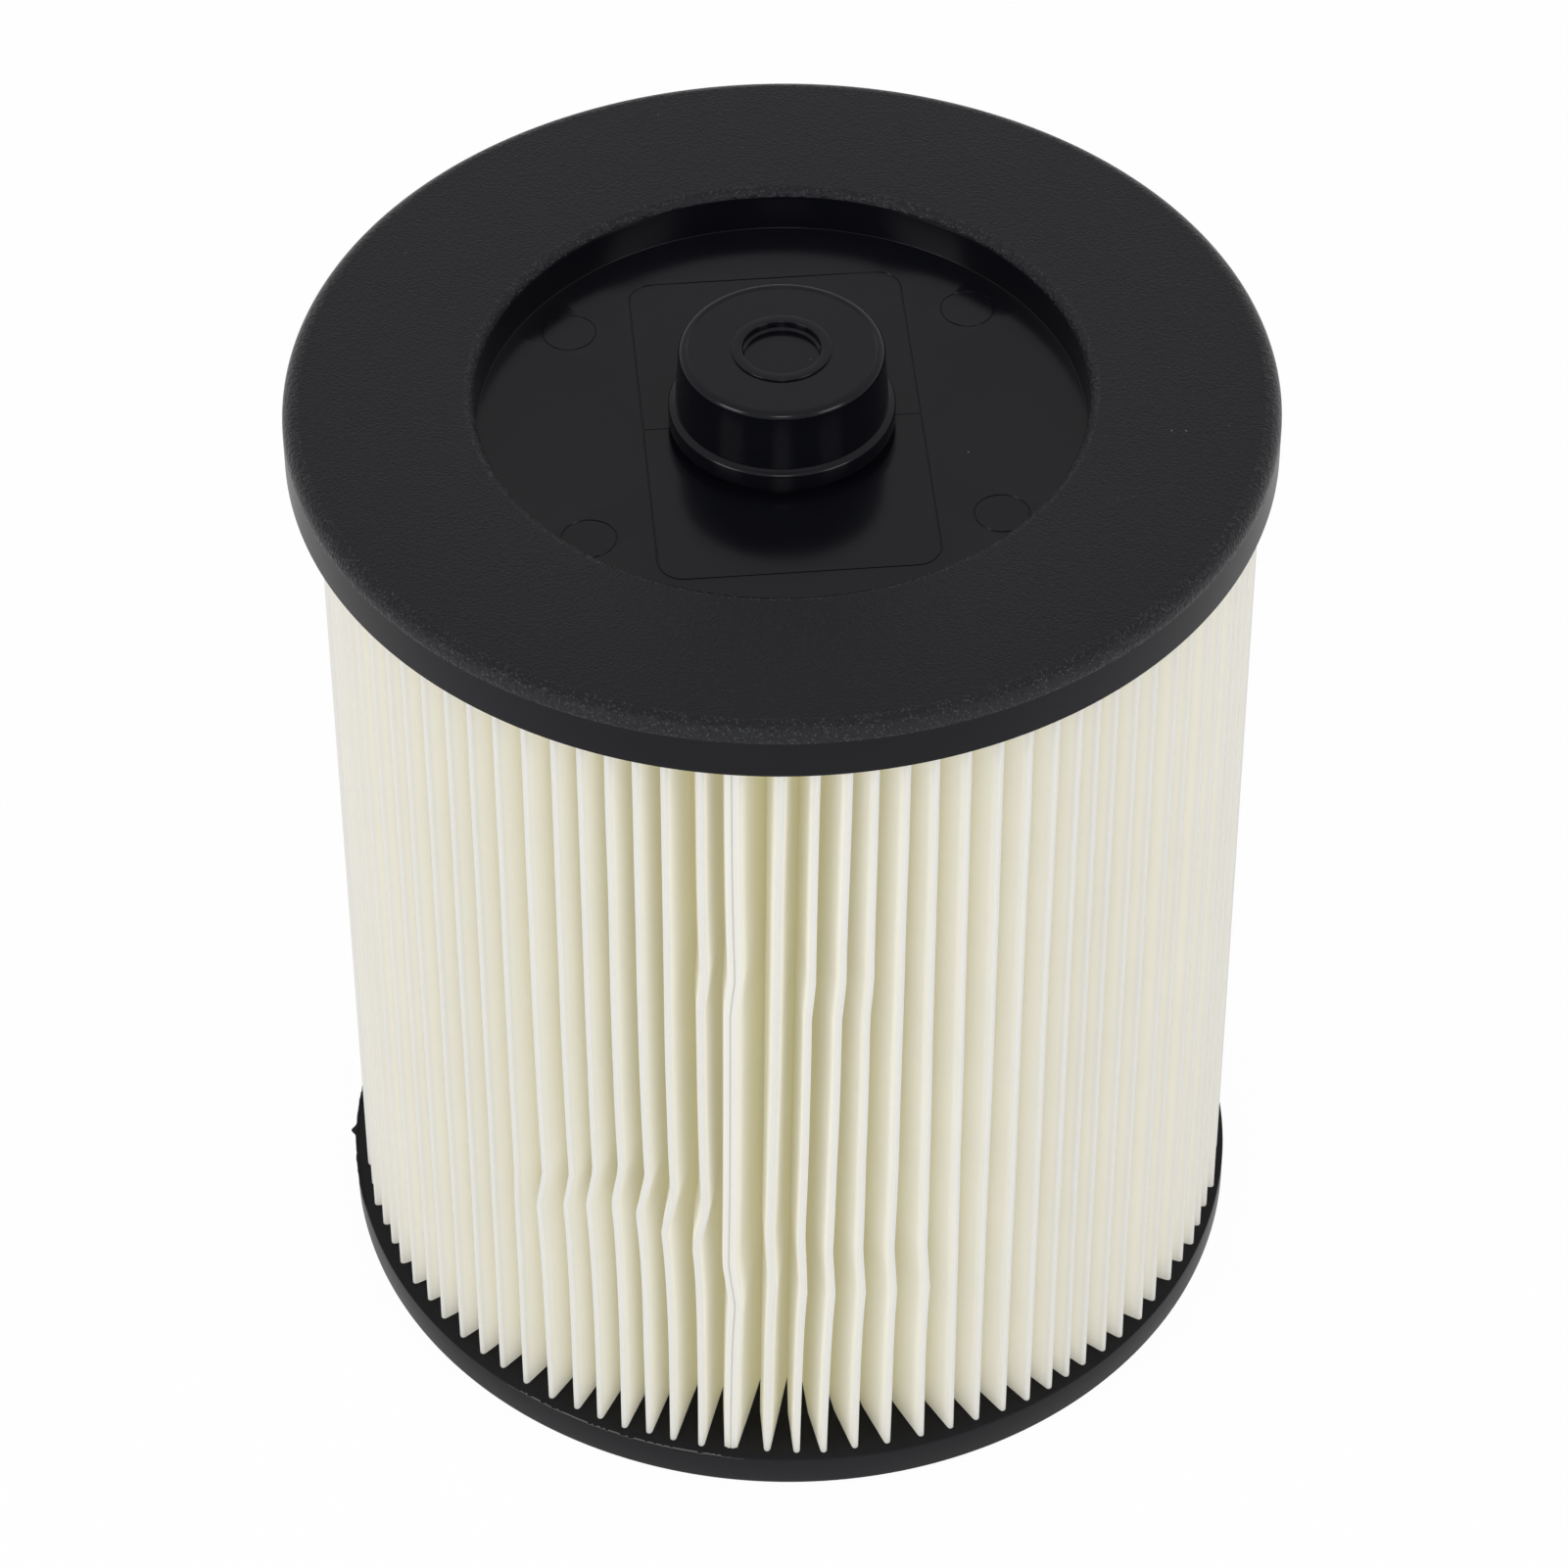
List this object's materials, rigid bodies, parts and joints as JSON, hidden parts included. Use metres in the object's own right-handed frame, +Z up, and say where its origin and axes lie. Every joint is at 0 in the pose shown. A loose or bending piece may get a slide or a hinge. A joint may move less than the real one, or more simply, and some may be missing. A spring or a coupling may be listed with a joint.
{
  "type": "vacuum cleaner filter",
  "caption": "Pleated cartridge filter for a wet and dry vacuum cleaner: closed black cap with a recessed boss, cream folded paper round a support cage, open base ring.",
  "frame": {"origin": "middle of the base ring's flat underside", "axes": "+Z up through the boss; the pleat where the paper's ends meet is at the front, near -Y"},
  "size_m": [0.175, 0.175, 0.2057],
  "materials": {
    "cap_plastic": "black moulding, finely grained on top, glossy in the recess",
    "potting": "set adhesive, smooth and dull",
    "filter_paper": "folded filter paper, matt cream",
    "cage_plastic": "plain black moulding",
    "cast_ring": "cast black polyurethane, satin, with some flash at its edge"
  },
  "bodies": {
    "root": {"top_cap": "cap_plastic", "top_potting": "potting", "pleated_media": "filter_paper", "support_cage": "cage_plastic", "bottom_ring": "cast_ring"}
  },
  "joints": []
}
